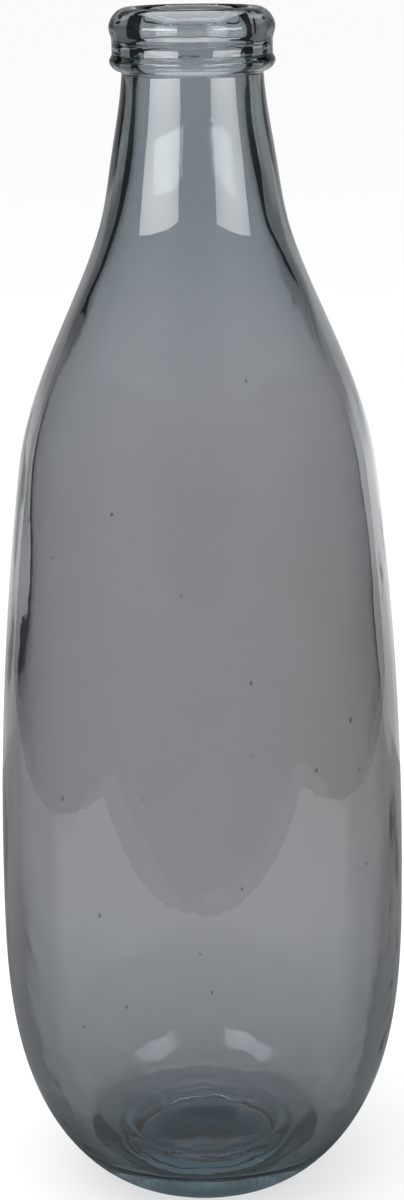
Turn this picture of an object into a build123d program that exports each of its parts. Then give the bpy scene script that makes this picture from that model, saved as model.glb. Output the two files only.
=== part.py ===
"""Bottle vase in thick smoked glass: one blown wall, cut at its parting planes into the glassmaker's zones.

Millimetres, +Z up. The origin is the centre of the bearing ring, on the table.
"""
from build123d import *
import os

# Heights of the zones, from the table up
BASE_HEIGHT = 21.0
HEEL_HEIGHT = 46.0
LOWER_BODY_HEIGHT = 101.0
UPPER_BODY_HEIGHT = 97.0
SHOULDER_HEIGHT = 79.0
NECK_HEIGHT = 54.0
BEAD_HEIGHT = 9.0
LIP_HEIGHT = 13.0

# Outside radii, at the top of a zone unless the name says otherwise
FOOT_RADIUS = 31.0
BASE_RADIUS = 55.0
HEEL_RADIUS = 70.0
GIRTH_RADIUS = 71.9
UPPER_BODY_RADIUS = 61.9
SHOULDER_MIDDLE_RADIUS = 49.9
SHOULDER_RADIUS = 33.3
NECK_MIDDLE_RADIUS = 27.8
NECK_RADIUS = 23.9
BEAD_RADIUS = 27.9
GROOVE_RADIUS = 27.0
LIP_RADIUS = 27.9
LIP_CREST_RADIUS = 22.0

# Thickness of the glass: the wall at the top of each zone, measured level, and at the girth
BASE_WALL = 7.6
HEEL_WALL = 6.4
GIRTH_WALL = 6.2
UPPER_BODY_WALL = 5.6
SHOULDER_MIDDLE_WALL = 5.6
SHOULDER_WALL = 6.4

# Floor: thick and flat, with a raised ring round its domed middle; a drop is from the top of the base
FLOOR_SETBACK = 7.4
FLOOR_DROP = 4.0
RING_RADIUS = 28.2
RING_WIDTH = 6.0
RING_RISE = 0.9
DOME_DROP = 0.3

# Underside: two bearing rings with a groove between them, round the push-up
BEARING_WIDTH = 6.5
BEARING_EDGE = 1.2
BEARING_GROOVE_WIDTH = 2.4
BEARING_GROOVE_DEPTH = 1.2
PUSH_UP_RIM = 1.0
PUSH_UP_HEIGHT = 1.4

# Girth and mouth
GIRTH_ABOVE_HEEL = 43.0
LEDGE_HEIGHT = 1.0
GROOVE_WIDTH = 4.0
MOUTH_ROUNDING = 3.6
THROAT_RADIUS = 18.4
THROAT_LENGTH = 18.0

# How far the outline leans inwards for each unit of height, and how fast the foot rises and the rims fall
FOOT_RISE = 0.38
BASE_FALL = 0.76
PUSH_UP_FALL = 0.04
RIM_FALL = 0.6
UPPER_BODY_LEAN = 0.13
SHOULDER_LEAN = 0.34
NECK_LEAN = 0.06

# Parting planes between the zones, and the heights that hang on them
base_top = BASE_HEIGHT
heel_top = base_top + HEEL_HEIGHT
lower_body_top = heel_top + LOWER_BODY_HEIGHT
upper_body_top = lower_body_top + UPPER_BODY_HEIGHT
shoulder_top = upper_body_top + SHOULDER_HEIGHT
neck_top = shoulder_top + NECK_HEIGHT
bead_top = neck_top + BEAD_HEIGHT
lip_top = bead_top + LIP_HEIGHT

girth_height = heel_top + GIRTH_ABOVE_HEEL
shoulder_middle = (upper_body_top + shoulder_top) / 2
neck_middle = (shoulder_top + neck_top) / 2
bead_middle = (neck_top + bead_top) / 2
lip_middle = (bead_top + lip_top) / 2
groove_bottom = bead_top - GROOVE_WIDTH / 2
groove_top = bead_top + GROOVE_WIDTH / 2
floor_height = base_top - FLOOR_DROP
dome_top = base_top - DOME_DROP
throat_top = lip_top - MOUTH_ROUNDING
throat_bottom = throat_top - THROAT_LENGTH

# Rings of the floor and the underside
cavity_radius = BASE_RADIUS - BASE_WALL
floor_radius = cavity_radius - FLOOR_SETBACK
ring_foot_radius = RING_RADIUS + RING_WIDTH / 2
dome_radius = RING_RADIUS - RING_WIDTH / 2
push_up_radius = FOOT_RADIUS - BEARING_WIDTH
bearing_radius = push_up_radius + BEARING_EDGE
bearing_groove_radius = (bearing_radius + FOOT_RADIUS) / 2

# Directions in the plane of the outline
UP = (0, 0, 1)
DOWN = (0, 0, -1)
OUT = (1, 0, 0)
IN = (-1, 0, 0)


def at(radius, height):
    """A point of the outline."""
    return (radius, 0, height)


def leaning_up(lean):
    """Direction of a wall that leans inwards on its way up."""
    return (-lean, 0, 1)


def leaning_down(lean):
    """The same wall, followed on its way down."""
    return (lean, 0, -1)


def leaning_in(fall):
    """Direction of a wall that runs in under itself on its way down."""
    return (-fall, 0, -1)


def outside():
    """Outside of the glass, from the edge of the bearing ring up to the crest of the lip."""
    heel = Spline(
        at(FOOT_RADIUS, 0),
        at(BASE_RADIUS, base_top),
        at(HEEL_RADIUS, heel_top),
        at(GIRTH_RADIUS, girth_height),
        tangents=[(1, 0, FOOT_RISE), UP],
    )
    body = TangentArc(at(GIRTH_RADIUS, girth_height), at(UPPER_BODY_RADIUS, upper_body_top), tangent=UP)
    shoulder = Spline(
        at(UPPER_BODY_RADIUS, upper_body_top),
        at(SHOULDER_MIDDLE_RADIUS, shoulder_middle),
        at(SHOULDER_RADIUS, shoulder_top),
        tangents=[leaning_up(UPPER_BODY_LEAN), leaning_up(SHOULDER_LEAN)],
    )
    neck = Spline(
        at(SHOULDER_RADIUS, shoulder_top),
        at(NECK_MIDDLE_RADIUS, neck_middle),
        at(NECK_RADIUS, neck_top),
        tangents=[leaning_up(SHOULDER_LEAN), leaning_up(NECK_LEAN)],
    )
    ledge = Line(at(NECK_RADIUS, neck_top), at(NECK_RADIUS, neck_top + LEDGE_HEIGHT))
    bead_underside = Spline(
        at(NECK_RADIUS, neck_top + LEDGE_HEIGHT),
        at(BEAD_RADIUS, bead_middle),
        tangents=[OUT, UP],
    )
    bead_to_groove = Spline(at(BEAD_RADIUS, bead_middle), at(GROOVE_RADIUS, groove_bottom), tangents=[UP, UP])
    groove = Line(at(GROOVE_RADIUS, groove_bottom), at(GROOVE_RADIUS, groove_top))
    groove_to_lip = Spline(at(GROOVE_RADIUS, groove_top), at(LIP_RADIUS, lip_middle), tangents=[UP, UP])
    lip = Spline(at(LIP_RADIUS, lip_middle), at(LIP_CREST_RADIUS, lip_top), tangents=[UP, IN])
    return [heel, body, shoulder, neck, ledge, bead_underside, bead_to_groove, groove, groove_to_lip, lip]


def inside():
    """Inside of the glass, from the crest of the lip down to the top of the floor's dome."""
    girth = at(GIRTH_RADIUS - GIRTH_WALL, girth_height)
    upper_body = at(UPPER_BODY_RADIUS - UPPER_BODY_WALL, upper_body_top)
    shoulder_end = at(SHOULDER_RADIUS - SHOULDER_WALL, shoulder_top)
    base_end = at(cavity_radius, base_top)
    floor_edge = at(floor_radius, floor_height)
    ring_crest = at(RING_RADIUS, floor_height + RING_RISE)
    dome_edge = at(dome_radius, floor_height)
    dome_rise = (-1, 0, 2 * (dome_top - floor_height) / dome_radius)

    mouth = Spline(at(LIP_CREST_RADIUS, lip_top), at(THROAT_RADIUS, throat_top), tangents=[IN, DOWN])
    throat = Line(at(THROAT_RADIUS, throat_top), at(THROAT_RADIUS, throat_bottom))
    neck = Spline(
        at(THROAT_RADIUS, throat_bottom),
        shoulder_end,
        tangents=[DOWN, leaning_down(SHOULDER_LEAN)],
    )
    shoulder = Spline(
        shoulder_end,
        at(SHOULDER_MIDDLE_RADIUS - SHOULDER_MIDDLE_WALL, shoulder_middle),
        upper_body,
        tangents=[leaning_down(SHOULDER_LEAN), leaning_down(UPPER_BODY_LEAN)],
    )
    body = TangentArc(girth, upper_body, tangent=UP)
    heel = Spline(
        girth,
        at(HEEL_RADIUS - HEEL_WALL, heel_top),
        base_end,
        tangents=[DOWN, leaning_in(BASE_FALL)],
    )
    corner = Spline(base_end, floor_edge, tangents=[leaning_in(BASE_FALL), IN])
    floor = Line(floor_edge, at(ring_foot_radius, floor_height))
    ring_outside = Spline(at(ring_foot_radius, floor_height), ring_crest, tangents=[IN, IN])
    ring_inside = Spline(ring_crest, dome_edge, tangents=[IN, dome_rise])
    dome = TangentArc(at(0, dome_top), dome_edge, tangent=OUT)
    return [mouth, throat, neck, shoulder, body, heel, corner, floor, ring_outside, ring_inside, dome]


def underside():
    """Axis of the dome, the shallow push-up below it and the two bearing rings."""
    groove_in = bearing_groove_radius - BEARING_GROOVE_WIDTH / 2
    groove_out = bearing_groove_radius + BEARING_GROOVE_WIDTH / 2
    axis = Line(at(0, dome_top), at(0, PUSH_UP_HEIGHT))
    push_up = Spline(
        at(0, PUSH_UP_HEIGHT),
        at(push_up_radius, PUSH_UP_RIM),
        tangents=[OUT, (1, 0, -PUSH_UP_FALL)],
    )
    rim = Spline(
        at(push_up_radius, PUSH_UP_RIM),
        at(bearing_radius, 0),
        tangents=[(PUSH_UP_FALL, 0, -1), (1, 0, -RIM_FALL)],
    )
    inner_ring = Line(at(bearing_radius, 0), at(groove_in, 0))
    groove_crest = at(bearing_groove_radius, BEARING_GROOVE_DEPTH)
    groove = ThreePointArc(at(groove_in, 0), groove_crest, at(groove_out, 0))
    outer_ring = Line(at(groove_out, 0), at(FOOT_RADIUS, 0))
    return [axis, push_up, rim, inner_ring, groove, outer_ring]


def zone(glass, bottom, top):
    """The part of the glass between two parting planes."""
    reach = glass.bounding_box().size.X
    slab = Cylinder(reach, top - bottom, align=(Align.CENTER, Align.CENTER, Align.MIN))
    return glass & Pos(0, 0, bottom) * slab


section = make_face(outside() + inside() + underside())
vase = revolve(section, Axis.Z)

parting_planes = {
    "base": (0, base_top),
    "heel": (base_top, heel_top),
    "lower_body": (heel_top, lower_body_top),
    "upper_body": (lower_body_top, upper_body_top),
    "shoulder": (upper_body_top, shoulder_top),
    "neck": (shoulder_top, neck_top),
    "collar_bead": (neck_top, bead_top),
    "lip_ring": (bead_top, lip_top),
}

os.makedirs("parts", exist_ok=True)
for name, (bottom, top) in parting_planes.items():
    export_step(zone(vase, bottom, top), f"parts/{name}.step")
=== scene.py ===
"""Bottle vase in smoked recycled glass: one turned shell over the CAD frame, on a plain studio stage."""
import math

import bpy
import numpy as np
from bpy.props import FloatProperty, FloatVectorProperty, IntProperty, PointerProperty
from mathutils import Matrix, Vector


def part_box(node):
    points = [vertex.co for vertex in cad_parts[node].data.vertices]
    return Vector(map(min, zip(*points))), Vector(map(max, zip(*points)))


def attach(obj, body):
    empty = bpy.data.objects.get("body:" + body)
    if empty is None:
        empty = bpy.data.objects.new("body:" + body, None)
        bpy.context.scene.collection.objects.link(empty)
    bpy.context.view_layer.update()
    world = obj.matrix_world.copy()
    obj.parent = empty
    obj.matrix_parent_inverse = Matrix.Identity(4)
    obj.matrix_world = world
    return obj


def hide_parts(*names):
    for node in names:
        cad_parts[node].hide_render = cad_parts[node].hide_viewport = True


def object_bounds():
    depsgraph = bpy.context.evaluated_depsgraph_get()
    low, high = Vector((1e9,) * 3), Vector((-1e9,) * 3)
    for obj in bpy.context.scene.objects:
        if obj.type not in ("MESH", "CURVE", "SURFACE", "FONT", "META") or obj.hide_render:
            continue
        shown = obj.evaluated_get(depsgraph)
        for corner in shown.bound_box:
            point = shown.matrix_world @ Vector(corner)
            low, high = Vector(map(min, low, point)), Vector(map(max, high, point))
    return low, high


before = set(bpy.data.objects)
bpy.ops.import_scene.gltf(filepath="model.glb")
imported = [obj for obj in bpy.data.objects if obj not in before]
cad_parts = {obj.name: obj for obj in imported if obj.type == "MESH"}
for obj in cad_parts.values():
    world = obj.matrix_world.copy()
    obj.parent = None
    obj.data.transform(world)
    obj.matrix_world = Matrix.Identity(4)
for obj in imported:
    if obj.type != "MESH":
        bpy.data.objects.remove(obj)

bl_info = {
    "name": "Bottle Vase",
    "version": (1, 0, 0),
    "blender": (4, 5, 0),
    "location": "View3D > Sidebar > Bottle Vase",
    "description": "Blows a smoked glass bottle vase on its CAD frame and lights it on a studio table",
    "category": "Object",
}

GLASS_NODES = (
    "base", "heel", "lower_body", "upper_body", "shoulder", "neck", "collar_bead", "lip_ring",
)
PHOTO_HEIGHT = 1200

CAD_LOW, CAD_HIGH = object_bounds()
VASE_HEIGHT = CAD_HIGH.z - CAD_LOW.z


def zone_top(node):
    """Height of a glass zone's upper parting plane."""
    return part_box(node)[1].z


def zone_radius(node):
    """Largest outside radius of a glass zone."""
    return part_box(node)[1].x


class BottleVaseGlass(bpy.types.PropertyGroup):
    """Sizes and colours of the blown glass."""

    foot_radius: FloatProperty(
        name="Foot Radius", description="Outer edge of the bearing ring",
        default=0.031, unit="LENGTH")
    foot_groove: FloatProperty(
        name="Foot Groove", description="Depth of the groove between the two bearing rings",
        default=0.0012, unit="LENGTH")
    push_up_radius: FloatProperty(
        name="Push-up Radius", description="Rim of the hollow under the base",
        default=0.0245, unit="LENGTH")
    push_up_rim: FloatProperty(
        name="Push-up Rim", description="Height of the steep rim round the push-up",
        default=0.0010, unit="LENGTH")
    push_up_height: FloatProperty(
        name="Push-up Height", description="Rise of the hollow under the base",
        default=0.0014, unit="LENGTH")
    girth_above_heel: FloatProperty(
        name="Girth Above Heel", description="Height of the widest ring above the heel's parting plane",
        default=0.043, unit="LENGTH")
    shoulder_middle_radius: FloatProperty(
        name="Shoulder Middle", description="Outside radius half way up the shoulder",
        default=0.0499, unit="LENGTH")
    neck_middle_radius: FloatProperty(
        name="Neck Middle", description="Outside radius half way up the neck",
        default=0.0278, unit="LENGTH")
    neck_radius: FloatProperty(
        name="Neck Top", description="Outside radius below the collar bead",
        default=0.0239, unit="LENGTH")
    groove_radius: FloatProperty(
        name="Groove Radius", description="Waist between the bead and the lip",
        default=0.0270, unit="LENGTH")
    groove_width: FloatProperty(
        name="Groove Width", description="Straight run of the waist between the bead and the lip",
        default=0.0040, unit="LENGTH")
    lip_crest_radius: FloatProperty(
        name="Lip Crest", description="Radius of the highest ring of the lip",
        default=0.0220, unit="LENGTH")
    throat_radius: FloatProperty(
        name="Throat Radius", description="Inside radius of the mouth",
        default=0.0184, unit="LENGTH")
    throat_length: FloatProperty(
        name="Throat Length", description="Straight run of the mouth below the lip",
        default=0.018, unit="LENGTH")
    mouth_rounding: FloatProperty(
        name="Mouth Rounding", description="Drop from the crest to the throat's full bore",
        default=0.0036, unit="LENGTH")
    undercut: FloatProperty(
        name="Undercut", description="Depth of the tool's ring inside the mouth",
        default=0.0009, unit="LENGTH")
    floor_setback: FloatProperty(
        name="Floor Setback", description="From the wall at the base's top to the edge of the flat floor",
        default=0.0050, unit="LENGTH")
    floor_drop: FloatProperty(
        name="Floor Drop", description="How far the floor lies below the base's top",
        default=0.0040, unit="LENGTH")
    ring_radius: FloatProperty(
        name="Ring Radius", description="Crest of the raised ring on the floor",
        default=0.0300, unit="LENGTH")
    ring_width: FloatProperty(
        name="Ring Width", description="Foot of the raised ring, from side to side",
        default=0.0064, unit="LENGTH")
    ring_rise: FloatProperty(
        name="Ring Rise", description="Height of the raised ring over the floor",
        default=0.0014, unit="LENGTH")
    dome_drop: FloatProperty(
        name="Dome Drop", description="How far the floor's domed middle stays below the base's top",
        default=0.0003, unit="LENGTH")
    base_wall: FloatProperty(
        name="Base Wall", description="Wall at the top of the base, measured level",
        default=0.0076, unit="LENGTH")
    heel_wall: FloatProperty(
        name="Heel Wall", description="Wall at the top of the heel",
        default=0.0064, unit="LENGTH")
    girth_wall: FloatProperty(
        name="Girth Wall", description="Wall at the widest ring",
        default=0.0062, unit="LENGTH")
    shoulder_wall: FloatProperty(
        name="Shoulder Wall", description="Wall from the upper body to the shoulder",
        default=0.0056, unit="LENGTH")
    neck_wall: FloatProperty(
        name="Neck Wall", description="Wall where the shoulder meets the neck",
        default=0.0064, unit="LENGTH")
    segments: IntProperty(
        name="Segments", description="Steps round the lathe", default=280, min=48)
    wave_seed: FloatProperty(
        name="Wave Seed", description="Moves the waves of the blown wall", default=3.7)
    outer_wave: FloatProperty(
        name="Outer Wave", description="Height of the waves outside the wall",
        default=0.00012, unit="LENGTH")
    inner_wave: FloatProperty(
        name="Inner Wave", description="Height of the waves inside the wall",
        default=0.0011, unit="LENGTH")
    throat_wave: FloatProperty(
        name="Throat Wave", description="Height of the waves inside the mouth",
        default=0.0007, unit="LENGTH")
    chill: FloatProperty(
        name="Chill Ripple", description="Height of the fine ripple where the mould chilled the glass",
        default=0.0004, unit="LENGTH")
    knurl: FloatProperty(
        name="Knurl", description="Depth of the notches in the floor's ring and under the foot",
        default=0.00016, unit="LENGTH")
    seed_density: FloatProperty(
        name="Seed Density", description="Air bubbles for each square metre of the wall", default=420.0)
    glass_colour: FloatVectorProperty(
        name="Glass Colour", description="Teal of the glass itself, seen in its thick parts",
        default=(0.06, 0.28, 0.345), subtype="COLOR", size=3, min=0.0, max=1.0)
    glass_density: FloatProperty(
        name="Glass Density", description="How fast the glass itself swallows light, for each metre",
        default=16.0)
    coat_colour: FloatVectorProperty(
        name="Coat Colour", description="Grey of the smoke coat on the wall",
        default=(0.58, 0.59, 0.614), subtype="COLOR", size=3, min=0.0, max=1.0)
    warm_colour: FloatVectorProperty(
        name="Warm Colour", description="Grey of the smoke coat where it is warmest, on the barrel",
        default=(0.56, 0.532, 0.541), subtype="COLOR", size=3, min=0.0, max=1.0)
    neck_colour: FloatVectorProperty(
        name="Neck Colour", description="Grey of the smoke coat on the neck",
        default=(0.515, 0.543, 0.567), subtype="COLOR", size=3, min=0.0, max=1.0)
    # Painted reflection: this grey is lighter than a thin coat alone would be, standing in for the windows
    # that the lip and bead mirror
    lip_coat_and_reflection_colour: FloatVectorProperty(
        name="Lip Colour", description="Grey of the thin smoke coat on the tooled lip and bead",
        default=(0.66, 0.675, 0.69), subtype="COLOR", size=3, min=0.0, max=1.0)
    heel_colour: FloatVectorProperty(
        name="Heel Colour", description="Grey of the smoke coat on the heel and the base",
        default=(0.545, 0.557, 0.572), subtype="COLOR", size=3, min=0.0, max=1.0)


class BottleVaseStage(bpy.types.PropertyGroup):
    """Camera, table and lights, in vase heights where a description says so."""

    camera_distance: FloatProperty(
        name="Camera Distance", description="From the vase's axis, in vase heights", default=2.2)
    camera_height: FloatProperty(
        name="Camera Height", description="Above the table, in vase heights", default=1.10)
    camera_pitch: FloatProperty(
        name="Camera Pitch", description="How far the camera looks down",
        default=math.radians(14.94), subtype="ANGLE")
    camera_roll: FloatProperty(
        name="Camera Roll", description="How far the picture leans",
        default=math.radians(0.75), subtype="ANGLE")
    camera_lens: FloatProperty(
        name="Lens", description="Focal length in millimetres", default=81.41)
    axis_offset: FloatProperty(
        name="Axis Offset",
        description="How far left of the picture's middle the vase stands, in photo pixels",
        default=2.7)
    table_left: FloatProperty(
        name="Table Left", description="Left edge of the white table, in vase heights", default=1.37)
    table_right: FloatProperty(
        name="Table Right", description="Right edge of the white table, in vase heights", default=1.44)
    table_front: FloatProperty(
        name="Table Front", description="Front edge of the white table, in vase heights", default=0.98)
    sweep_distance: FloatProperty(
        name="Sweep Distance", description="White paper behind the vase, in vase heights", default=1.1)
    sweep_left: FloatProperty(
        name="Sweep Left", description="Left edge of the white paper, in vase heights", default=1.1)
    sweep_right: FloatProperty(
        name="Sweep Right", description="Right edge of the white paper, in vase heights", default=1.2)
    room_light: FloatProperty(
        name="Room Light", description="What the dark room beyond the table mirrors", default=0.025)
    side_light: FloatProperty(
        name="Side Light", description="Dim glow of the room in front, to the left and right of the camera",
        default=0.17)
    window_light: FloatProperty(
        name="Window Light", description="Brightness of the soft windows in the reflections", default=9.6)
    sweep_light: FloatProperty(
        name="Sweep Light", description="Brightness of the white paper behind the vase", default=0.85)
    ceiling_light: FloatProperty(
        name="Ceiling Light", description="Brightness of the soft light overhead that the lip mirrors",
        default=3.5)


# Outline of the glass


def smooth_run(points, start, end, count):
    """Points on a smooth curve through the given ones, from a start direction to an end direction."""
    knots = np.array(points, float)
    chord = np.linalg.norm(np.diff(knots, axis=0), axis=1)
    size = len(knots)
    matrix = np.zeros((size, size))
    right = np.zeros((size, 2))
    matrix[0, 0] = 1
    right[0] = np.array(start) / np.linalg.norm(start)
    matrix[-1, -1] = 1
    right[-1] = np.array(end) / np.linalg.norm(end)
    for i in range(1, size - 1):
        before, after = chord[i - 1], chord[i]
        matrix[i, i - 1] = after
        matrix[i, i] = 2 * (before + after)
        matrix[i, i + 1] = before
        step_in = (knots[i] - knots[i - 1]) / before
        step_out = (knots[i + 1] - knots[i]) / after
        right[i] = 3 * (after * step_in + before * step_out)
    slopes = np.linalg.solve(matrix, right)
    ends = np.concatenate([[0], np.cumsum(chord)])
    run = []
    for distance in np.linspace(0, ends[-1], count):
        i = min(np.searchsorted(ends, distance, side="right") - 1, size - 2)
        t = (distance - ends[i]) / chord[i]
        run.append(
            (2 * t**3 - 3 * t**2 + 1) * knots[i]
            + (t**3 - 2 * t**2 + t) * chord[i] * slopes[i]
            + (3 * t**2 - 2 * t**3) * knots[i + 1]
            + (t**3 - t**2) * chord[i] * slopes[i + 1]
        )
    return [tuple(p) for p in run]


def barrel_run(girth, top, count):
    """Arc of the barrel, upright at the girth, to a point higher up."""
    rise = top[1] - girth[1]
    fall = girth[0] - top[0]
    radius = (rise**2 + fall**2) / (2 * fall)
    sweep = math.asin(rise / radius)
    return [
        (girth[0] - radius * (1 - math.cos(a)), girth[1] + radius * math.sin(a))
        for a in np.linspace(0, sweep, count)
    ]


UP = (0, 1)
DOWN = (0, -1)
OUT = (1, 0)
IN = (-1, 0)
FOOT_RISE = (1, 0.38)
BASE_FALL = (-0.76, -1)
PUSH_UP_FALL = 0.04
RIM_FALL = 0.6
UPPER_BODY_LEAN = 0.13
SHOULDER_LEAN = 0.34
NECK_LEAN = 0.06
LEDGE_HEIGHT = 0.001
BEARING_EDGE = 0.0012
BEARING_GROOVE_WIDTH = 0.0024
UNDERCUT_TOP = 0.24
UNDERCUT_MIDDLE = 0.36
UNDERCUT_BOTTOM = 0.66


def underside_runs(glass):
    """Under the foot: the hollow, its steep rim, and two bearing rings with a groove between them."""
    ring_in = glass.push_up_radius + BEARING_EDGE
    ring_middle = (ring_in + glass.foot_radius) / 2
    groove_in = ring_middle - BEARING_GROOVE_WIDTH / 2
    groove_out = ring_middle + BEARING_GROOVE_WIDTH / 2
    hollow_edge = (glass.push_up_radius, glass.push_up_rim)
    groove = (ring_middle, glass.foot_groove)
    hollow = smooth_run([(0, glass.push_up_height), hollow_edge], OUT, (1, -PUSH_UP_FALL), 8)
    rim = smooth_run([hollow_edge, (ring_in, 0)], (PUSH_UP_FALL, -1), (1, -RIM_FALL), 8)
    inner_ring = [(radius, 0) for radius in np.linspace(ring_in, groove_in, 4)]
    dip = smooth_run([(groove_in, 0), groove, (groove_out, 0)], (RIM_FALL, 1), (RIM_FALL, -1), 11)
    outer_ring = [(radius, 0) for radius in np.linspace(groove_out, glass.foot_radius, 5)]
    return [
        (hollow, "plain"),
        (rim, "bearing"),
        (inner_ring, "bearing"),
        (dip, "bearing"),
        (outer_ring, "plain"),
    ]


def outside_runs(glass):
    """Up the outside, from the foot to the lip's crest."""
    base_top = zone_top("base")
    heel_top = zone_top("heel")
    body_top = zone_top("upper_body")
    shoulder_top = zone_top("shoulder")
    neck_top = zone_top("neck")
    bead_top = zone_top("collar_bead")
    lip_top = zone_top("lip_ring")
    bead_middle = (neck_top + bead_top) / 2
    lip_middle = (bead_top + lip_top) / 2
    foot = (glass.foot_radius, 0)
    girth = (zone_radius("lower_body"), heel_top + glass.girth_above_heel)
    body = (zone_radius("shoulder"), body_top)
    shoulder_middle = (glass.shoulder_middle_radius, (body_top + shoulder_top) / 2)
    shoulder = (zone_radius("neck"), shoulder_top)
    neck_middle = (glass.neck_middle_radius, (shoulder_top + neck_top) / 2)
    neck = (glass.neck_radius, neck_top)
    ledge = (glass.neck_radius, neck_top + LEDGE_HEIGHT)
    bead = (zone_radius("collar_bead"), bead_middle)
    groove_low = (glass.groove_radius, bead_top - glass.groove_width / 2)
    groove_high = (glass.groove_radius, bead_top + glass.groove_width / 2)
    lip = (zone_radius("lip_ring"), lip_middle)
    crest = (glass.lip_crest_radius, lip_top)
    heel_points = [foot, (zone_radius("base"), base_top), (zone_radius("heel"), heel_top), girth]
    body_lean = (-UPPER_BODY_LEAN, 1)
    shoulder_lean = (-SHOULDER_LEAN, 1)
    return [
        (smooth_run(heel_points, FOOT_RISE, UP, 40), "outside"),
        (barrel_run(girth, body, 16), "outside"),
        (smooth_run([body, shoulder_middle, shoulder], body_lean, shoulder_lean, 18), "outside"),
        (smooth_run([shoulder, neck_middle, neck], shoulder_lean, (-NECK_LEAN, 1), 18), "outside"),
        (smooth_run([ledge, bead], OUT, UP, 12), "outside"),
        (smooth_run([bead, groove_low], UP, UP, 8), "outside"),
        (smooth_run([groove_high, lip], UP, UP, 9), "outside"),
        (smooth_run([lip, crest], UP, IN, 18), "plain"),
    ]


def inside_runs(glass):
    """Down the inside, from the lip's crest to the middle of the floor."""
    base_top = zone_top("base")
    heel_top = zone_top("heel")
    body_top = zone_top("upper_body")
    shoulder_top = zone_top("shoulder")
    lip_top = zone_top("lip_ring")
    throat_height = lip_top - glass.mouth_rounding
    crest = (glass.lip_crest_radius, lip_top)
    throat_top = (glass.throat_radius, throat_height)
    ring_top = (glass.throat_radius, throat_height - UNDERCUT_TOP * glass.throat_length)
    ring = (glass.throat_radius + glass.undercut, throat_height - UNDERCUT_MIDDLE * glass.throat_length)
    ring_bottom = (glass.throat_radius, throat_height - UNDERCUT_BOTTOM * glass.throat_length)
    throat_bottom = (glass.throat_radius, throat_height - glass.throat_length)
    shoulder = (zone_radius("neck") - glass.neck_wall, shoulder_top)
    shoulder_middle = (
        glass.shoulder_middle_radius - glass.shoulder_wall, (body_top + shoulder_top) / 2)
    body = (zone_radius("shoulder") - glass.shoulder_wall, body_top)
    girth = (zone_radius("lower_body") - glass.girth_wall, heel_top + glass.girth_above_heel)
    heel = (zone_radius("heel") - glass.heel_wall, heel_top)
    base = (zone_radius("base") - glass.base_wall, base_top)
    floor_height = base_top - glass.floor_drop
    floor_edge = (base[0] - glass.floor_setback, floor_height)
    ring_foot = (glass.ring_radius + glass.ring_width / 2, floor_height)
    ring_crest = (glass.ring_radius, floor_height + glass.ring_rise)
    dome_edge = (glass.ring_radius - glass.ring_width / 2, floor_height)
    dome_top = (0, base_top - glass.dome_drop)
    dome_rise = (-1, 2 * (dome_top[1] - floor_height) / dome_edge[0])
    body_lean = (UPPER_BODY_LEAN, -1)
    shoulder_lean = (SHOULDER_LEAN, -1)
    return [
        (smooth_run([crest, throat_top], IN, DOWN, 14), "plain"),
        (smooth_run([throat_top, ring_top], DOWN, DOWN, 8), "throat"),
        (smooth_run([ring_top, ring, ring_bottom], DOWN, DOWN, 14), "throat"),
        (smooth_run([ring_bottom, throat_bottom], DOWN, DOWN, 5), "throat"),
        (smooth_run([throat_bottom, shoulder], DOWN, shoulder_lean, 24), "inside"),
        (smooth_run([shoulder, shoulder_middle, body], shoulder_lean, body_lean, 20), "inside"),
        (barrel_run(girth, body, 18)[::-1], "inside"),
        (smooth_run([girth, heel, base], DOWN, BASE_FALL, 44), "chilled"),
        (smooth_run([base, floor_edge], BASE_FALL, IN, 12), "floor"),
        (smooth_run([floor_edge, ring_foot], IN, IN, 5), "floor"),
        (smooth_run([ring_foot, ring_crest], IN, IN, 9), "ring"),
        (smooth_run([ring_crest, dome_edge], IN, dome_rise, 9), "ring"),
        (smooth_run([dome_edge, dome_top], dome_rise, IN, 12), "floor"),
    ]


WAVE_NAMES = ("broad", "chill", "knurl")
HEEL_WAVE = 0.45
HEEL_CHILL = 0.4
FLOOR_WAVE = 0.08
FLOOR_CHILL = 0.15
RING_CHILL = 0.3
FADE_POINTS = 11
SAME_POINT = 1e-6
MOUTH_RUNS = 4


def softened(waves):
    """Wave heights that fade from one run of the outline into the next."""
    spread = np.hanning(FADE_POINTS)
    padded = np.pad(waves, FADE_POINTS // 2, mode="edge")
    return np.convolve(padded, spread / spread.sum(), mode="valid")


def profile_mesh(glass):
    """The outline as a chain of points, each with the heights of the waves that the wall has there."""
    waves = {
        "plain": (0.0, 0.0, 0.0),
        "bearing": (0.0, 0.0, glass.knurl),
        "outside": (glass.outer_wave, 0.0, 0.0),
        "throat": (glass.throat_wave, glass.chill, 0.0),
        "inside": (glass.inner_wave, 0.0, 0.0),
        "chilled": (HEEL_WAVE * glass.inner_wave, HEEL_CHILL * glass.chill, 0.0),
        "floor": (FLOOR_WAVE * glass.inner_wave, FLOOR_CHILL * glass.chill, 0.0),
        "ring": (FLOOR_WAVE * glass.inner_wave, RING_CHILL * glass.chill, glass.knurl),
    }
    kept = []
    for run, finish in underside_runs(glass) + outside_runs(glass) + inside_runs(glass):
        for point in run:
            if not kept or math.dist(point, kept[-1][0]) > SAME_POINT:
                kept.append((point, waves[finish]))
    mesh = bpy.data.meshes.new("vase_outline")
    mesh.from_pydata([(point[0], 0, point[1]) for point, _ in kept], [], [])
    for column, name in enumerate(WAVE_NAMES):
        faded = softened(np.array([row[1][column] for row in kept]))
        mesh.attributes.new(name, "FLOAT", "POINT").data.foreach_set("value", faded)
    inner = mesh.attributes.new("inner", "FLOAT", "POINT")
    first_inner = len(kept) - sum(len(run) for run, _ in inside_runs(glass)[MOUTH_RUNS:])
    inner.data.foreach_set("value", [float(i >= first_inner) for i in range(len(kept))])
    return mesh


# Geometry Nodes

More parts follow.
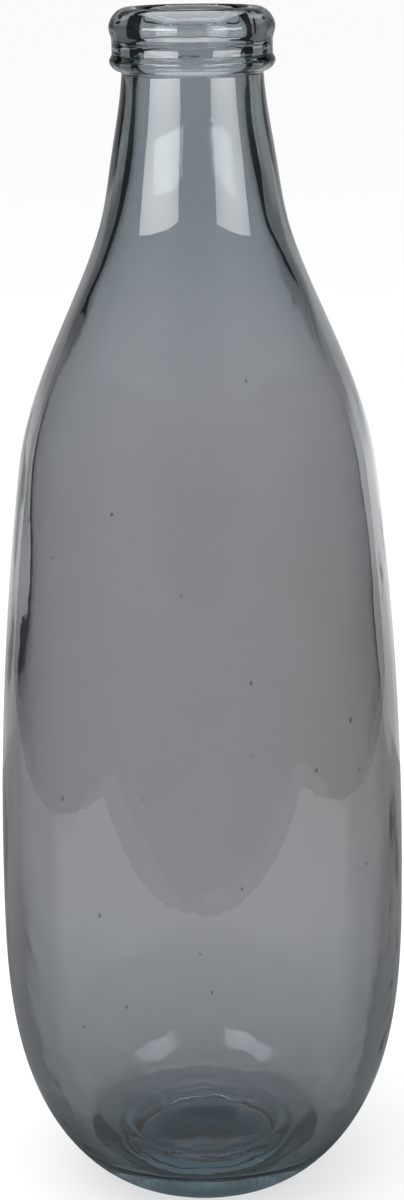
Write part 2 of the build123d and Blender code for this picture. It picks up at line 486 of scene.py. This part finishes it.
BROAD_SCALE = 26.0
BROAD_STRETCH = (1.0, 1.0, 0.55)
CHILL_SCALE = 150.0
KNURL_NOTCHES = 84
NOTCH_WANDER = 2.0
WANDER_SCALE = 60.0
SEAM_GAP = 2e-6
INNER_SHARE = 0.99
SEED_RADIUS = 0.0004
SEED_DEEPEST = -0.0036
SEED_SHALLOWEST = -0.0018
SEED_SMALLEST = (0.4, 0.4, 0.5)
SEED_LARGEST = (1.2, 1.2, 2.4)
SPOT_DRAW = 4
DEPTH_DRAW = 5
SIZE_DRAW = 6


class TreeMaker:
    """Short hand for adding and joining nodes in one tree."""

    def __init__(self, tree):
        self.tree = tree

    def add(self, kind, inputs=None, **settings):
        """A node of the given kind with its settings, and its inputs set or linked."""
        node = self.tree.nodes.new(kind)
        for name, value in settings.items():
            setattr(node, name, value)
        for key, value in (inputs or {}).items():
            socket = node.inputs[key]
            if isinstance(value, bpy.types.NodeSocket):
                self.tree.links.new(value, socket)
            else:
                socket.default_value = value
        return node

    def math(self, operation, *values):
        """A Math node's result."""
        return self.add("ShaderNodeMath", dict(enumerate(values)), operation=operation).outputs[0]

    def vector(self, operation, *values):
        """A Vector Math node's vector result."""
        return self.add("ShaderNodeVectorMath", dict(enumerate(values)), operation=operation).outputs[0]

    def scaled(self, vector, factor):
        """A vector times a number."""
        return self.add(
            "ShaderNodeVectorMath", {0: vector, "Scale": factor}, operation="SCALE").outputs[0]

    def attribute(self, name):
        """A number that each point carries."""
        node = self.add("GeometryNodeInputNamedAttribute", {"Name": name}, data_type="FLOAT")
        return node.outputs["Attribute"]

    def noise(self, place, seed, scale, detail):
        """Noise that runs from about -1 to 1."""
        value = self.add(
            "ShaderNodeTexNoise",
            {"Vector": place, "W": seed, "Scale": scale, "Detail": detail},
            noise_dimensions="4D",
        ).outputs[0]
        return self.math("MULTIPLY", self.math("SUBTRACT", value, 0.5), 2.0)


def new_tree(name, inputs):
    """A Geometry Nodes tree with one mesh going in and out, and the named inputs."""
    tree = bpy.data.node_groups.new(name, "GeometryNodeTree")
    face = tree.interface
    face.new_socket("Geometry", in_out="INPUT", socket_type="NodeSocketGeometry")
    for label, kind in inputs:
        face.new_socket(label, in_out="INPUT", socket_type=kind)
    face.new_socket("Geometry", in_out="OUTPUT", socket_type="NodeSocketGeometry")
    make = TreeMaker(tree)
    return tree, make, make.add("NodeGroupInput").outputs


def lathe_tree():
    """Geometry Nodes that turn a chain of points round Z, let the blown wall wave and trap air in it."""
    tree, make, given = new_tree("Blown Glass Lathe", (
        ("Segments", "NodeSocketInt"),
        ("Wave Seed", "NodeSocketFloat"),
        ("Seed Density", "NodeSocketFloat"),
        ("Glass", "NodeSocketMaterial"),
    ))
    chain = given["Geometry"]
    count = make.add("GeometryNodeAttributeDomainSize", {"Geometry": chain}).outputs["Point Count"]
    columns = make.math("ADD", given["Segments"], 1.0)
    grid = make.add(
        "GeometryNodeMeshGrid",
        {"Size X": 1.0, "Size Y": 1.0, "Vertices X": columns, "Vertices Y": count},
    ).outputs["Mesh"]
    place = make.add("GeometryNodeInputPosition").outputs[0]
    across = make.add("ShaderNodeSeparateXYZ", {0: place}).outputs
    turn = make.math("MULTIPLY", make.math("ADD", across["X"], 0.5), math.tau)
    along = make.math("MULTIPLY", make.math("ADD", across["Y"], 0.5), make.math("SUBTRACT", count, 1.0))
    index = make.math("ROUND", along)

    sheet = grid
    for name in (*WAVE_NAMES, "inner"):
        height = make.add(
            "GeometryNodeSampleIndex",
            {"Geometry": chain, "Value": make.attribute(name), "Index": index},
            data_type="FLOAT",
        ).outputs["Value"]
        sheet = make.add(
            "GeometryNodeStoreNamedAttribute",
            {"Geometry": sheet, "Name": name, "Value": height},
            data_type="FLOAT",
            domain="POINT",
        ).outputs["Geometry"]
    point = make.add(
        "GeometryNodeSampleIndex",
        {"Geometry": chain, "Value": place, "Index": index},
        data_type="FLOAT_VECTOR",
    ).outputs["Value"]
    reach = make.add("ShaderNodeSeparateXYZ", {0: point}).outputs
    turned = make.add(
        "ShaderNodeCombineXYZ",
        {
            "X": make.math("MULTIPLY", reach["X"], make.math("COSINE", turn)),
            "Y": make.math("MULTIPLY", reach["X"], make.math("SINE", turn)),
            "Z": reach["Z"],
        },
    ).outputs[0]
    lathe = make.add(
        "GeometryNodeSetPosition", {"Geometry": sheet, "Position": turned}
    ).outputs["Geometry"]
    closed = make.add(
        "GeometryNodeMergeByDistance", {"Geometry": lathe, "Distance": SEAM_GAP}
    ).outputs["Geometry"]
    wall = waved_wall(make, closed, place, given["Wave Seed"])
    whole = make.add("GeometryNodeJoinGeometry", {0: wall})
    tree.links.new(air_seeds(make, wall, given["Seed Density"]), whole.inputs[0])
    smooth = make.add("GeometryNodeSetShadeSmooth", {"Geometry": whole.outputs[0]}).outputs["Geometry"]
    real = make.add("GeometryNodeRealizeInstances", {"Geometry": smooth}).outputs["Geometry"]
    dressed = make.add(
        "GeometryNodeSetMaterial", {"Geometry": real, "Material": given["Glass"]}
    ).outputs["Geometry"]
    make.add("NodeGroupOutput", {"Geometry": dressed})
    return tree


def waved_wall(make, wall, place, seed):
    """Moves the wall's points along their normals: broad waves, chill ripple and the rings' notches."""
    stretched = make.vector("MULTIPLY", place, BROAD_STRETCH)
    broad = make.math("MULTIPLY", make.noise(stretched, seed, BROAD_SCALE, 2.0), make.attribute("broad"))
    chill = make.math("MULTIPLY", make.noise(place, seed, CHILL_SCALE, 1.0), make.attribute("chill"))
    parts = make.add("ShaderNodeSeparateXYZ", {0: place}).outputs
    azimuth = make.math("ARCTAN2", parts["Y"], parts["X"])
    wander = make.math("MULTIPLY", make.noise(place, seed, WANDER_SCALE, 1.0), NOTCH_WANDER)
    notch = make.math("COSINE", make.math("ADD", make.math("MULTIPLY", azimuth, KNURL_NOTCHES), wander))
    depth = make.math("MULTIPLY", make.math("SUBTRACT", notch, 1.0), make.attribute("knurl"))
    lift = make.math("ADD", make.math("ADD", broad, chill), make.math("MULTIPLY", depth, 0.5))
    normal = make.add("GeometryNodeInputNormal").outputs[0]
    return make.add(
        "GeometryNodeSetPosition", {"Geometry": wall, "Offset": make.scaled(normal, lift)}
    ).outputs["Geometry"]


def air_seeds(make, wall, density):
    """Small stretched air bubbles inside the wall, as closed shells that face into the air."""
    inner = make.math("GREATER_THAN", make.attribute("inner"), INNER_SHARE)
    spots = make.add(
        "GeometryNodeDistributePointsOnFaces",
        {"Mesh": wall, "Selection": inner, "Density": density, "Seed": SPOT_DRAW},
    )
    depth = make.add(
        "FunctionNodeRandomValue",
        {"Min": SEED_DEEPEST, "Max": SEED_SHALLOWEST, "Seed": DEPTH_DRAW},
        data_type="FLOAT")
    depth_value = next(s for s in depth.outputs if s.enabled)
    sunk = make.add(
        "GeometryNodeSetPosition",
        {"Geometry": spots.outputs["Points"], "Offset": make.scaled(spots.outputs["Normal"], depth_value)},
    ).outputs["Geometry"]
    ball = make.add(
        "GeometryNodeMeshIcoSphere", {"Radius": SEED_RADIUS, "Subdivisions": 2}
    ).outputs["Mesh"]
    hollow = make.add("GeometryNodeFlipFaces", {"Mesh": ball}).outputs["Mesh"]
    size = make.add(
        "FunctionNodeRandomValue",
        {"Min": SEED_SMALLEST, "Max": SEED_LARGEST, "Seed": SIZE_DRAW},
        data_type="FLOAT_VECTOR")
    size_value = next(s for s in size.outputs if s.enabled)
    return make.add(
        "GeometryNodeInstanceOnPoints", {"Points": sunk, "Instance": hollow, "Scale": size_value}
    ).outputs["Instances"]


def set_inputs(modifier, values):
    """Sets a Geometry Nodes modifier's inputs by their sockets' identifiers."""
    for item in modifier.node_group.interface.items_tree:
        if item.item_type == "SOCKET" and item.in_out == "INPUT" and item.name in values:
            modifier[item.identifier] = values[item.name]


def baked(piece):
    """Turns a piece's Geometry Nodes result into its own plain mesh."""
    graph = bpy.context.evaluated_depsgraph_get()
    mesh = bpy.data.meshes.new_from_object(piece.evaluated_get(graph))
    piece.modifiers.clear()
    old = piece.data
    piece.data = mesh
    mesh.name = piece.name
    bpy.data.meshes.remove(old)


# Materials

WHITE = (1.0, 1.0, 1.0, 1.0)


def new_material(name):
    """An empty node material with its maker and output node."""
    material = bpy.data.materials.new(name)
    material.use_nodes = True
    material.node_tree.nodes.clear()
    make = TreeMaker(material.node_tree)
    output = make.add("ShaderNodeOutputMaterial")
    return material, make, output


def blended(make, factor, first, second):
    """A colour between two others."""
    node = make.add("ShaderNodeMix", {"Factor": factor}, data_type="RGBA")
    for name, colour in (("A", first), ("B", second)):
        socket = next(s for s in node.inputs if s.name == name and s.enabled)
        if isinstance(colour, bpy.types.NodeSocket):
            make.tree.links.new(colour, socket)
        else:
            socket.default_value = (*colour, 1.0)
    return next(s for s in node.outputs if s.enabled)


def eased(make, value, start, end, first=0.0, second=1.0):
    """A number that goes smoothly from the first at the start to the second at the end."""
    return make.add(
        "ShaderNodeMapRange",
        {"Value": value, "From Min": start, "From Max": end, "To Min": first, "To Max": second},
        interpolation_type="SMOOTHSTEP").outputs[0]


def vase_heights(*shares):
    """Shares of the vase's height, in metres."""
    return [share * VASE_HEIGHT for share in shares]


BARREL_FOOT = vase_heights(0.10, 0.35)
BARREL_TOP = vase_heights(0.80, 0.50)
HEEL_FADE = vase_heights(0.30, 0.10)
NECK_FADE = vase_heights(0.72, 0.84)
# Where the painted reflection on the lip and bead starts, and the groove that it leaves out
GROOVE_FADE = vase_heights(0.006, 0.016)
LIP_FADE = 0.01 * VASE_HEIGHT
WARM_LEAN = 4.0
WARM_MIDDLE = 0.75
CLOUD_SCALE = 14.0
CLOUD_FLOOR = 0.5


def smoke_coat(make, place, glass):
    """Grey coat of the wall: cloudy, warm on the barrel, darker on the heel and neck, thin on the lip and
    lightened there, outside the groove, as a painted reflection of the windows.
    """
    parts = make.add("ShaderNodeSeparateXYZ", {0: place}).outputs
    height = parts["Z"]
    low = eased(make, height, *BARREL_FOOT)
    high = eased(make, height, *BARREL_TOP)
    side = make.math("MULTIPLY_ADD", parts["X"], WARM_LEAN, WARM_MIDDLE)
    clouds = make.add(
        "ShaderNodeTexNoise", {"Vector": place, "Scale": CLOUD_SCALE, "Detail": 3.0}).outputs[0]
    barrel = make.math("MULTIPLY", make.math("MULTIPLY", low, high), side)
    cloudy = make.math("MULTIPLY", barrel, make.math("ADD", clouds, CLOUD_FLOOR))
    body = blended(make, cloudy, glass.coat_colour, glass.warm_colour)
    lower = blended(make, eased(make, height, *HEEL_FADE), body, glass.heel_colour)
    upper = blended(make, eased(make, height, *NECK_FADE), lower, glass.neck_colour)
    # Painted reflection: the lip and bead take a lighter grey for the windows they mirror; the groove
    # between them keeps the plain coat
    finish = eased(make, height, zone_top("neck"), zone_top("neck") + LIP_FADE)
    from_groove = make.math("ABSOLUTE", make.math("SUBTRACT", height, zone_top("collar_bead")))
    off_groove = eased(make, from_groove, *GROOVE_FADE)
    return blended(make, make.math("MULTIPLY", finish, off_groove), upper, glass.lip_coat_and_reflection_colour)


GLASS_IOR = 1.5
SHADOW_TINT = (0.6, 0.63, 0.66, 1.0)
PEEL_SCALE = 160.0
PEEL_STRENGTH = 0.02
PEEL_DEPTH = 0.001
SMEAR_SCALE = 22.0
SMEAR_EDGES = (0.45, 0.75)
SMEAR_ROUGHNESS = 0.03


def smoked_glass(glass):
    """Teal glass with a cloudy grey smoke coat, faint smears and orange peel."""
    material, make, output = new_material("smoked_glass")
    links = material.node_tree.links
    place = make.add("ShaderNodeTexCoord").outputs["Object"]
    peel = make.add("ShaderNodeTexNoise", {"Vector": place, "Scale": PEEL_SCALE, "Detail": 2.0}).outputs[0]
    bump = make.add(
        "ShaderNodeBump", {"Height": peel, "Strength": PEEL_STRENGTH, "Distance": PEEL_DEPTH})
    smears = make.add(
        "ShaderNodeTexNoise", {"Vector": place, "Scale": SMEAR_SCALE, "Detail": 4.0}).outputs[0]
    shader = make.add(
        "ShaderNodeBsdfPrincipled",
        {
            "Roughness": eased(make, smears, *SMEAR_EDGES, 0.0, SMEAR_ROUGHNESS),
            "IOR": GLASS_IOR,
            "Transmission Weight": 1.0,
            "Normal": bump.outputs[0],
        },
    )
    links.new(smoke_coat(make, place, glass), shader.inputs["Base Color"])
    path = make.add("ShaderNodeLightPath").outputs
    clear = make.add("ShaderNodeBsdfTransparent", {"Color": SHADOW_TINT}).outputs[0]
    surface = make.add(
        "ShaderNodeMixShader", {0: path["Is Shadow Ray"], 1: shader.outputs[0], 2: clear}).outputs[0]
    teal = make.add(
        "ShaderNodeVolumeAbsorption", {"Color": (*glass.glass_colour, 1.0), "Density": glass.glass_density}
    ).outputs[0]
    links.new(surface, output.inputs["Surface"])
    links.new(teal, output.inputs["Volume"])
    return material


def mirrored_path(make):
    """1 where the view reaches a thing by a reflection, also one inside the glass, else 0."""
    path = make.add("ShaderNodeLightPath").outputs
    glossy = make.math("GREATER_THAN", path["Glossy Depth"], 0.5)
    straight = make.math("LESS_THAN", path["Diffuse Depth"], 0.5)
    return make.math("MULTIPLY", glossy, straight)


def glow(make, colour, strength):
    """An even light of one colour."""
    return make.add("ShaderNodeEmission", {"Color": colour, "Strength": strength}).outputs[0]


def ringed_glow(make, away, rings, strength):
    """Painted light off the table by the distance from the vase's foot, from rings of a radius and a
    colour.
    """
    reach = rings[-1][0]
    share = make.math("DIVIDE", away, reach)
    ramp = make.add("ShaderNodeValToRGB", {"Fac": share})
    stops = ramp.color_ramp.elements
    while len(stops) < len(rings):
        stops.new(1.0)
    for stop, (radius, colour) in zip(stops, rings):
        stop.position = radius / reach
        stop.color = (*colour, 1.0)
    return glow(make, ramp.outputs["Color"], strength)


# Painted light and shadow of the table at rings round the vase's axis, through the glass and mirrored in
# it, in metres: a painted contact shadow near the foot, and painted teal light under the base
PAINTED_LIGHT_THROUGH = (
    (0.016, (0.065, 0.12, 0.15)),
    (0.030, (0.15, 0.20, 0.225)),
    (0.050, (0.32, 0.345, 0.365)),
    (0.085, (0.62, 0.63, 0.64)),
    (0.130, (0.80, 0.805, 0.81)),
    (0.240, (1.0, 1.0, 1.0)),
)
PAINTED_LIGHT_MIRRORED = (
    (0.036, (0.10, 0.13, 0.14)),
    (0.055, (0.17, 0.19, 0.20)),
    (0.095, (0.36, 0.37, 0.38)),
    (0.310, (0.50, 0.50, 0.50)),
    (0.450, (0.60, 0.60, 0.60)),
)

# Fades of the table's painted light: where each starts and ends in metres, then the light at both ends
UNDER_FRONT = (-0.010, -0.022, 1.0, 2.4)
AROUND_FRONT = (0.0, -0.08, 0.6, 1.5)
# A painted pool of light on the table behind the vase, standing in for light that the glass throws there
POOL_NEAR = (0.03, 0.055)
POOL_FAR = (0.2, 0.12)
POOL_SIDES = (0.09, 0.04)
POOL_LIGHT = 1.6
TABLE_COLOUR = (0.9, 0.9, 0.9, 1.0)
TABLE_GLOW = 0.6


def painted_light_under(make, place):
    """Share of painted light under the vase: painted brighter towards the front."""
    return eased(make, place["Y"], *UNDER_FRONT)


def painted_light_around(make, place):
    """Share of painted light on the table round the vase: most in front, and a painted pool of light behind
    it where the glass would throw one.
    """
    front = eased(make, place["Y"], *AROUND_FRONT)
    back = make.math("MULTIPLY", eased(make, place["Y"], *POOL_NEAR), eased(make, place["Y"], *POOL_FAR))
    narrow = eased(make, make.math("ABSOLUTE", place["X"]), *POOL_SIDES)
    pool = make.math("MULTIPLY", back, narrow)
    return make.math("MULTIPLY_ADD", pool, POOL_LIGHT, front)


def table_top(stage):
    """Pale floor that keeps the vase's shadow; seen through the glass and in reflections it glows with
    painted light and a painted shadow round the foot, and in reflections a dark room starts at the table's
    edges.
    """
    material, make, output = new_material("table_top")
    links = material.node_tree.links
    place = make.add("ShaderNodeTexCoord").outputs["Object"]
    parts = make.add("ShaderNodeSeparateXYZ", {0: place}).outputs
    right_of = make.math("GREATER_THAN", parts["X"], -stage.table_left * VASE_HEIGHT)
    left_of = make.math("LESS_THAN", parts["X"], stage.table_right * VASE_HEIGHT)
    behind = make.math("GREATER_THAN", parts["Y"], -stage.table_front * VASE_HEIGHT)
    on_table = make.math("MULTIPLY", make.math("MULTIPLY", right_of, left_of), behind)
    away = make.add("ShaderNodeVectorMath", {0: place}, operation="LENGTH").outputs["Value"]
    matt = make.add("ShaderNodeBsdfDiffuse", {"Color": TABLE_COLOUR}).outputs[0]
    # Painted shadow and teal light under and near the vase, for what is seen through the glass
    under = ringed_glow(make, away, PAINTED_LIGHT_THROUGH, painted_light_under(make, parts))
    # Painted shadow round the foot and a painted pool of light, for what the glass mirrors
    around = ringed_glow(make, away, PAINTED_LIGHT_MIRRORED, painted_light_around(make, parts))
    dark = glow(make, WHITE, stage.room_light)
    white = glow(make, WHITE, 1.0)
    mirrored = make.add("ShaderNodeMixShader", {0: on_table, 1: dark, 2: around}).outputs[0]
    pale = make.add("ShaderNodeMixShader", {0: TABLE_GLOW, 1: matt, 2: white}).outputs[0]
    path = make.add("ShaderNodeLightPath").outputs
    seen = make.add("ShaderNodeMixShader", {0: path["Is Camera Ray"], 1: under, 2: pale}).outputs[0]
    surface = make.add("ShaderNodeMixShader", {0: mirrored_path(make), 1: seen, 2: mirrored}).outputs[0]
    links.new(surface, output.inputs["Surface"])
    return material


def mirrored_glow(material, make, output, strength):
    """Ends a card's material in a light that mirrored paths alone see."""
    light = glow(make, WHITE, strength)
    clear = make.add("ShaderNodeBsdfTransparent").outputs[0]
    surface = make.add("ShaderNodeMixShader", {0: mirrored_path(make), 1: clear, 2: light}).outputs[0]
    material.node_tree.links.new(surface, output.inputs["Surface"])
    return material


def card_glow(name, strength):
    """An even light or, at a strength of 0, a black card."""
    material, make, output = new_material(name)
    return mirrored_glow(material, make, output, strength)


WINDOW_SIDES = (0.3, 1.0, 1.0, 0.75)
WINDOW_TOP_LIGHT = 0.8


def window_glow(name, strength, azimuth, half_width, low, high):
    """A soft window that is dimmer to its sides and its top."""
    material, make, output = new_material(name)
    place = make.add("ShaderNodeTexCoord").outputs["Object"]
    along = make.add(
        "ShaderNodeVectorMath", {0: place, 1: (math.cos(azimuth), math.sin(azimuth), 0.0)},
        operation="DOT_PRODUCT").outputs["Value"]
    across = make.math("ABSOLUTE", make.math("DIVIDE", along, half_width))
    height = make.add("ShaderNodeSeparateXYZ", {0: place}).outputs["Z"]
    sides = eased(make, across, *WINDOW_SIDES)
    rise = eased(make, height, low, high, 1.0, WINDOW_TOP_LIGHT)
    return mirrored_glow(
        material, make, output, make.math("MULTIPLY", make.math("MULTIPLY", sides, rise), strength))


# Painted fades of the white paper's light: where each starts and ends in vase heights, then the light at
# both ends
SWEEP_SIDES = (0.60, 0.78, 1.0, 0.8)
SWEEP_LEAN = (-0.3, 0.3, 0.97, 1.2)
SWEEP_FOOT = (0.12, 0.28, 0.68, 1.0)
SWEEP_MIDDLE = (0.45, 0.66, 1.0, 0.52)
SWEEP_TOP = (0.86, 1.0, 1.0, 0.6)
GAP_SIDES = (0.24, 0.14)
GAP_FOOT = (0.45, 0.55)
GAP_TOP = (0.85, 0.78)


def sweep_paper(stage):
    """White paper that glows in reflections, with painted shade: dimmer at its foot, fading up and to its
    sides, a little brighter to the right, and with a painted dark gap in its middle.
    """
    material, make, output = new_material("sweep_paper")
    place = make.add("ShaderNodeTexCoord").outputs["Object"]
    parts = make.add("ShaderNodeSeparateXYZ", {0: place}).outputs
    across = make.math("DIVIDE", parts["X"], VASE_HEIGHT)
    off_axis = make.math("ABSOLUTE", across)
    height = make.math("DIVIDE", parts["Z"], VASE_HEIGHT)
    # Painted dark gap in the middle of the paper
    tall = make.math("MULTIPLY", eased(make, height, *GAP_FOOT), eased(make, height, *GAP_TOP))
    gap = make.math("MULTIPLY", eased(make, off_axis, *GAP_SIDES), tall)
    shade = make.math("SUBTRACT", 1.0, gap)
    for place_along, fade in (
        (off_axis, SWEEP_SIDES),
        (across, SWEEP_LEAN),
        (height, SWEEP_FOOT),
        (height, SWEEP_MIDDLE),
        (height, SWEEP_TOP),
    ):
        shade = make.math("MULTIPLY", shade, eased(make, place_along, *fade))
    return mirrored_glow(material, make, output, make.math("MULTIPLY", shade, stage.sweep_light))


# Stage: windows, flags, paper and ceiling in vase heights, table and lamp in metres

TABLE_REACH = 12.0
TABLE_CLEARANCE = 0.0002
# Each window's side, its azimuth and half its spread in degrees, and its share of the light
WINDOWS = (("left", -45.0, 25.5, 1.0), ("right", 49.5, 21.5, 0.86))
WINDOW_DISTANCE = 1.2
WINDOW_LOW = 0.93
WINDOW_HIGH = 1.25
FLAG_DISTANCE = 0.33
FLAG_HALF_WIDTH = 0.26
FLAG_LOW = 0.58
FLAG_HIGH = 0.84
SWEEP_HEIGHT = 2.0
CEILING_HALF_WIDTH = 1.0
CEILING_HEIGHT = 2.4
LAMP_SIZE = 1.6
LAMP_POWER = 20.0
LAMP_PLACE = (-0.35, -0.3, 1.7)
LAMP_TURN = (math.radians(10), math.radians(-12), 0)
ROOM_SIDES = (0.25, 0.5)
ROOM_RISE = (0.0, 0.12)
ROOM_FRONT = (0.1, -0.1)


def placed(name, mesh):
    """A new object at the origin."""
    piece = bpy.data.objects.new(name, mesh)
    bpy.context.scene.collection.objects.link(piece)
    return piece


def flat_piece(name, corners, material):
    """A flat four-cornered piece of the stage."""
    mesh = bpy.data.meshes.new(name)
    mesh.from_pydata(corners, [], [(0, 1, 2, 3)])
    mesh.materials.append(material)
    piece = placed(name, mesh)
    return piece


def hang_card(name, corners, material):
    """A stage card with the given corners that shows in reflections alone."""
    card = flat_piece(name, corners, material)
    card.visible_camera = False
    card.visible_diffuse = False
    card.visible_shadow = False


def level_square(half, height):
    """Corners of a level square over the vase's axis."""
    return [(-half, -half, height), (half, -half, height), (half, half, height), (-half, half, height)]


def facing_card(name, azimuth, distance, half_width, low, high, material):
    """An upright card that faces the vase. Azimuth 0 is towards the camera, right is positive."""
    facing = (math.sin(azimuth), -math.cos(azimuth))
    side = (-facing[1], facing[0])
    corners = []
    for along, height in ((-half_width, low), (half_width, low), (half_width, high), (-half_width, high)):
        corners.append((
            facing[0] * distance + side[0] * along,
            facing[1] * distance + side[1] * along,
            height,
        ))
    hang_card(name, corners, material)


def lay_table(stage):
    """A wide pale floor, just clear of the bearing rings."""
    flat_piece("table", level_square(TABLE_REACH, -TABLE_CLEARANCE), table_top(stage))


def hang_windows(stage):
    """Two soft windows that the neck mirrors, and under each a dark flag that shades the shoulder."""
    dark = card_glow("dark_card", 0.0)
    distance, low, high = vase_heights(WINDOW_DISTANCE, WINDOW_LOW, WINDOW_HIGH)
    flag = vase_heights(FLAG_DISTANCE, FLAG_HALF_WIDTH, FLAG_LOW, FLAG_HIGH)
    for side, degrees, spread, share in WINDOWS:
        azimuth = math.radians(degrees)
        half_width = distance * math.tan(math.radians(spread))
        light = window_glow(
            f"window_light_{side}", share * stage.window_light, azimuth, half_width, low, high)
        facing_card(f"window_{side}", azimuth, distance, half_width, low, high, light)
        facing_card(f"flag_{side}", azimuth, *flag, dark)


def hang_sweep(stage):
    """The white paper behind the vase, as the glass mirrors it."""
    left, right, back, high = vase_heights(
        -stage.sweep_left, stage.sweep_right, stage.sweep_distance, SWEEP_HEIGHT)
    corners = [(left, back, 0), (right, back, 0), (right, back, high), (left, back, high)]
    hang_card("sweep", corners, sweep_paper(stage))


def hang_ceiling(stage):
    """The soft light overhead, as the top of the lip mirrors it."""
    corners = level_square(*vase_heights(CEILING_HALF_WIDTH, CEILING_HEIGHT))
    hang_card("ceiling", corners, card_glow("ceiling_light", stage.ceiling_light))


def hang_lamp():
    """One broad soft lamp overhead for the shadow on the table."""
    data = bpy.data.lights.new("overhead", "AREA")
    data.size = LAMP_SIZE
    data.energy = LAMP_POWER
    lamp = bpy.data.objects.new("overhead", data)
    lamp.location = LAMP_PLACE
    lamp.rotation_euler = LAMP_TURN
    lamp.visible_glossy = False
    lamp.visible_transmission = False
    bpy.context.scene.collection.objects.link(lamp)


def light_room(scene, stage):
    """White all round for what is seen straight or through the glass, dark for what the glass mirrors."""
    world = bpy.data.worlds.new("studio")
    scene.world = world
    world.use_nodes = True
    world.node_tree.nodes.clear()
    make = TreeMaker(world.node_tree)
    toward = make.add(
        "ShaderNodeSeparateXYZ", {0: make.add("ShaderNodeTexCoord").outputs["Generated"]}).outputs
    sides = eased(make, make.math("ABSOLUTE", toward["X"]), *ROOM_SIDES)
    for name, fade in (("Z", ROOM_RISE), ("Y", ROOM_FRONT)):
        sides = make.math("MULTIPLY", sides, eased(make, toward[name], *fade))
    room = make.math("MULTIPLY_ADD", sides, stage.side_light, stage.room_light)
    strength = make.add(
        "ShaderNodeMix", {"Factor": mirrored_path(make), "A": 1.0, "B": room}, data_type="FLOAT"
    ).outputs[0]
    sky = make.add("ShaderNodeBackground", {"Color": WHITE, "Strength": strength}).outputs[0]
    make.add("ShaderNodeOutputWorld", {"Surface": sky})


def place_camera(scene, stage):
    """The photograph's viewpoint."""
    data = bpy.data.cameras.new("camera")
    data.lens = stage.camera_lens
    data.shift_x = stage.axis_offset / PHOTO_HEIGHT
    camera = bpy.data.objects.new("camera", data)
    camera.location = (0, -stage.camera_distance * VASE_HEIGHT, stage.camera_height * VASE_HEIGHT)
    pitch = math.pi / 2 - stage.camera_pitch
    turn = Matrix.Rotation(pitch, 3, "X") @ Matrix.Rotation(-stage.camera_roll, 3, "Z")
    camera.rotation_euler = turn.to_euler("XYZ")
    scene.collection.objects.link(camera)
    scene.camera = camera


# Operators and panel


class VASE_OT_blow_glass(bpy.types.Operator):
    """Blow the glass vase over its CAD zones."""

    bl_idname = "vase.blow_glass"
    bl_label = "Blow Glass"

    def execute(self, context):
        glass = context.scene.bottle_vase_glass
        vase = placed("glass_vase", profile_mesh(glass))
        lathe = vase.modifiers.new("Lathe", "NODES")
        lathe.node_group = lathe_tree()
        set_inputs(lathe, {
            "Segments": glass.segments,
            "Wave Seed": glass.wave_seed,
            "Seed Density": glass.seed_density,
            "Glass": smoked_glass(glass),
        })
        baked(vase)
        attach(vase, "root")
        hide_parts(*GLASS_NODES)
        return {"FINISHED"}


class VASE_OT_set_stage(bpy.types.Operator):
    """Set up the table, the lamps, the room and the camera."""

    bl_idname = "vase.set_stage"
    bl_label = "Set Stage"

    def execute(self, context):
        stage = context.scene.bottle_vase_stage
        context.scene.view_settings.view_transform = "Standard"
        lay_table(stage)
        hang_windows(stage)
        hang_sweep(stage)
        hang_ceiling(stage)
        hang_lamp()
        light_room(context.scene, stage)
        place_camera(context.scene, stage)
        return {"FINISHED"}


class VASE_PT_sidebar(bpy.types.Panel):
    """Lists the vase's steps and sizes."""

    bl_idname = "VASE_PT_sidebar"
    bl_label = "Bottle Vase"
    bl_space_type = "VIEW_3D"
    bl_region_type = "UI"
    bl_category = "Bottle Vase"

    def draw(self, context):
        layout = self.layout
        layout.operator(VASE_OT_set_stage.bl_idname)
        layout.operator(VASE_OT_blow_glass.bl_idname)
        for settings in (context.scene.bottle_vase_glass, context.scene.bottle_vase_stage):
            box = layout.box()
            for name in settings.__annotations__:
                box.prop(settings, name)


CLASSES = (BottleVaseGlass, BottleVaseStage, VASE_OT_blow_glass, VASE_OT_set_stage, VASE_PT_sidebar)


def register():
    for each in CLASSES:
        bpy.utils.register_class(each)
    bpy.types.Scene.bottle_vase_glass = PointerProperty(type=BottleVaseGlass)
    bpy.types.Scene.bottle_vase_stage = PointerProperty(type=BottleVaseStage)


def unregister():
    del bpy.types.Scene.bottle_vase_stage
    del bpy.types.Scene.bottle_vase_glass
    for each in reversed(CLASSES):
        bpy.utils.unregister_class(each)


def main():
    register()
    bpy.ops.vase.set_stage()
    bpy.ops.vase.blow_glass()


if __name__ == "__main__":
    main()
